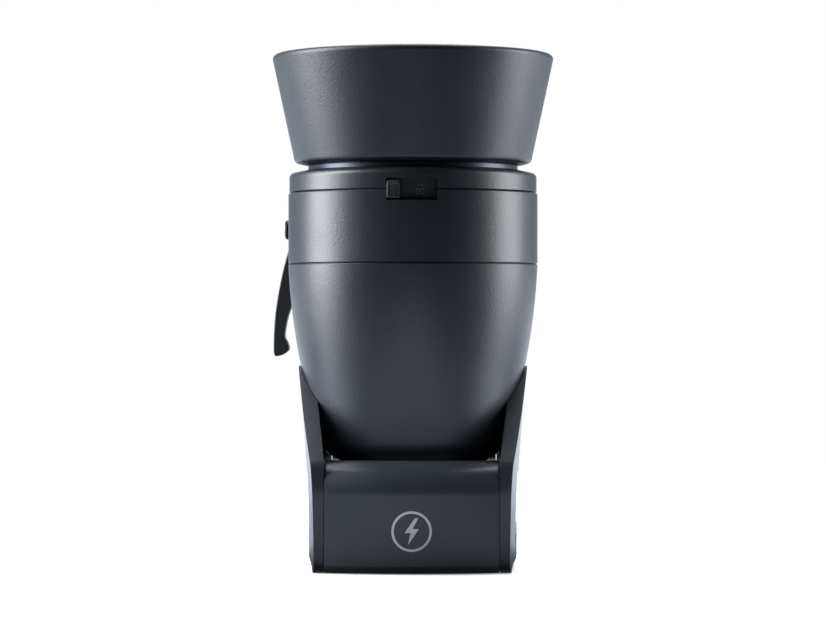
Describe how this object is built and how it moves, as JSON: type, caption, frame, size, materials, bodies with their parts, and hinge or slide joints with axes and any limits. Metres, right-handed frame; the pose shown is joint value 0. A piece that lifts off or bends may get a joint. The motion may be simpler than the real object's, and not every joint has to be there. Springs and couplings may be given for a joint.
{
  "type": "studio flash head",
  "caption": "Compact studio flash head: flared reflector on a locking collar, tapered round body, rear handle bar between side cheeks, control panel and a tilting stand bracket with a lever.",
  "frame": {"origin": "where the optical axis meets the rear plane that the head stands on, at the middle of the rib's flat rear face", "axes": "+Z forwards along the optical axis (up as stored), -Y towards the handle bar's side, +Y towards the stand bracket, +X to the right seen from the handle bar's side"},
  "size_m": [0.1389, 0.2075, 0.2451],
  "materials": {
    "housing": "satin",
    "black_plastic": "matte",
    "soft_black": "matte",
    "reflector_paint": "satin",
    "cast_aluminium": "satin",
    "bright_aluminium": "polished",
    "bracket_paint": "satin",
    "steel": "satin",
    "frosted_glass": "frosted",
    "tube_glass": "polished",
    "ceramic": "glazed",
    "circuit_board": "lacquered",
    "shrink_wrap": "gloss",
    "display_glass": "polished"
  },
  "bodies": {
    "head": {"main_shell": "housing", "barrel_shell": "housing", "front_ring": "housing", "mount_collar": "bright_aluminium", "front_bulkhead": "cast_aluminium", "inner_pan": "bright_aluminium", "lamp_socket": "ceramic", "modelling_led": "ceramic", "capacitor_1": "shrink_wrap", "capacitor_2": "shrink_wrap", "capacitor_3": "shrink_wrap", "power_board": "circuit_board", "fan_frame": "black_plastic", "led_heat_sink": "cast_aluminium", "handle_cover": "housing", "handle_core": "soft_black", "left_cheek": "housing", "right_cheek": "housing", "left_vent_grille": "black_plastic", "right_vent_grille": "black_plastic", "cheek_screw_1": "steel", "cheek_screw_2": "steel", "cheek_screw_3": "steel", "cheek_screw_4": "steel", "rear_box": "housing", "control_panel": "black_plastic", "display_window": "display_glass", "control_board": "circuit_board", "encoder_body": "steel", "usb_port": "steel", "battery_pack": "shrink_wrap", "tilt_base": "bracket_paint", "base_screw_1": "steel", "base_screw_2": "steel", "left_friction_disc": "soft_black", "right_friction_disc": "soft_black", "clamp_nut": "steel"},
    "reflector": {"reflector_bowl": "reflector_paint", "reflector_sleeve": "bright_aluminium"},
    "glass_dome": {"glass_dome": "frosted_glass"},
    "flash_tube": {"flash_tube": "tube_glass"},
    "lock_ring": {"lock_ring": "black_plastic", "lock_slider": "black_plastic"},
    "latch_1": {"lock_latch_1": "steel"},
    "latch_2": {"lock_latch_2": "steel"},
    "latch_3": {"lock_latch_3": "steel"},
    "fan_impeller": {"fan_impeller": "black_plastic"},
    "stand_bracket": {"stand_bracket": "bracket_paint"},
    "stand_clamp_pad": {"stand_clamp_pad": "soft_black"},
    "stand_clamp_knob": {"stand_clamp_knob": "soft_black"},
    "umbrella_clamp_knob": {"umbrella_clamp_knob": "soft_black"},
    "clamp_spindle": {"clamp_bolt": "steel", "lever_cap_screw": "steel"},
    "tilt_lever": {"tilt_lever": "black_plastic"},
    "encoder_knob": {"encoder_knob": "black_plastic"},
    "menu_button_1": {"menu_button_1": "soft_black"},
    "menu_button_2": {"menu_button_2": "soft_black"},
    "menu_button_3": {"menu_button_3": "soft_black"},
    "power_button": {"power_button": "soft_black"},
    "usb_flap": {"usb_flap": "soft_black"}
  },
  "joints": [
    {"name": "lock_turn", "type": "hinge", "parent": "head", "child": "lock_ring", "pos_m": [0, 0, 0.178], "axis": [0, 0, 1], "range_deg": [0, 16.5]},
    {"name": "latch_1_slide", "type": "slide", "parent": "head", "child": "latch_1", "axis": [0.866, 0.5, 0], "range_m": [0, 0.0018]},
    {"name": "latch_2_slide", "type": "slide", "parent": "head", "child": "latch_2", "axis": [-0.866, 0.5, 0], "range_m": [0, 0.0018]},
    {"name": "latch_3_slide", "type": "slide", "parent": "head", "child": "latch_3", "axis": [0, -1, 0], "range_m": [0, 0.0018]},
    {"name": "reflector_lift", "type": "slide", "parent": "head", "child": "reflector", "axis": [0, 0, 1], "range_m": [0, 0.06]},
    {"name": "dome_lift", "type": "slide", "parent": "head", "child": "glass_dome", "axis": [0, 0, 1], "range_m": [0, 0.05]},
    {"name": "tube_lift", "type": "slide", "parent": "head", "child": "flash_tube", "axis": [0, 0, 1], "range_m": [0, 0.01]},
    {"name": "fan_spin", "type": "hinge", "parent": "head", "child": "fan_impeller", "pos_m": [0, 0, 0.152], "axis": [0, 0, 1], "continuous": true},
    {"name": "bracket_tilt", "type": "hinge", "parent": "head", "child": "stand_bracket", "pos_m": [0, 0.08, 0.163], "axis": [1, 0, 0], "range_deg": [-80, 80]},
    {"name": "stand_pad_slide", "type": "slide", "parent": "stand_bracket", "child": "stand_clamp_pad", "axis": [-1, 0, 0], "range_m": [0, 0.002]},
    {"name": "stand_knob_turn", "type": "hinge", "parent": "stand_clamp_pad", "child": "stand_clamp_knob", "pos_m": [0.03, 0.126, 0.163], "axis": [-1, 0, 0], "range_deg": [0, 570]},
    {"name": "umbrella_knob_turn", "type": "hinge", "parent": "stand_bracket", "child": "umbrella_clamp_knob", "pos_m": [0.03, 0.0995, 0.163], "axis": [-1, 0, 0], "range_deg": [0, 540]},
    {"name": "lever_turn", "type": "hinge", "parent": "head", "child": "clamp_spindle", "pos_m": [0, 0.08, 0.163], "axis": [1, 0, 0], "continuous": true},
    {"name": "lever_pull", "type": "slide", "parent": "clamp_spindle", "child": "tilt_lever", "axis": [-1, 0, 0], "range_m": [0, 0.0035], "stiffness_N_per_m": 900},
    {"name": "encoder_turn", "type": "hinge", "parent": "head", "child": "encoder_knob", "pos_m": [0.019, 0.022, 0.009], "axis": [0, 0, 1], "continuous": true},
    {"name": "menu_button_1_press", "type": "slide", "parent": "head", "child": "menu_button_1", "axis": [0, 0, 1], "range_m": [0, 0.0008], "stiffness_N_per_m": 1200},
    {"name": "menu_button_2_press", "type": "slide", "parent": "head", "child": "menu_button_2", "axis": [0, 0, 1], "range_m": [0, 0.0008], "stiffness_N_per_m": 1200},
    {"name": "menu_button_3_press", "type": "slide", "parent": "head", "child": "menu_button_3", "axis": [0, 0, 1], "range_m": [0, 0.0008], "stiffness_N_per_m": 1200},
    {"name": "power_button_press", "type": "slide", "parent": "head", "child": "power_button", "axis": [0, 0, 1], "range_m": [0, 0.0008], "stiffness_N_per_m": 1200},
    {"name": "usb_flap_open", "type": "hinge", "parent": "head", "child": "usb_flap", "pos_m": [0.0115, 0.0453, 0.0092], "axis": [1, 0, 0], "range_deg": [0, 100]}
  ],
  "couplings": [
    {"joint": "latch_1_slide", "follows": "lock_turn", "m_per_rad": 0.00625},
    {"joint": "latch_2_slide", "follows": "lock_turn", "m_per_rad": 0.00625},
    {"joint": "latch_3_slide", "follows": "lock_turn", "m_per_rad": 0.00625},
    {"joint": "stand_pad_slide", "follows": "stand_knob_turn", "m_per_rad": 0.00019894}
  ]
}
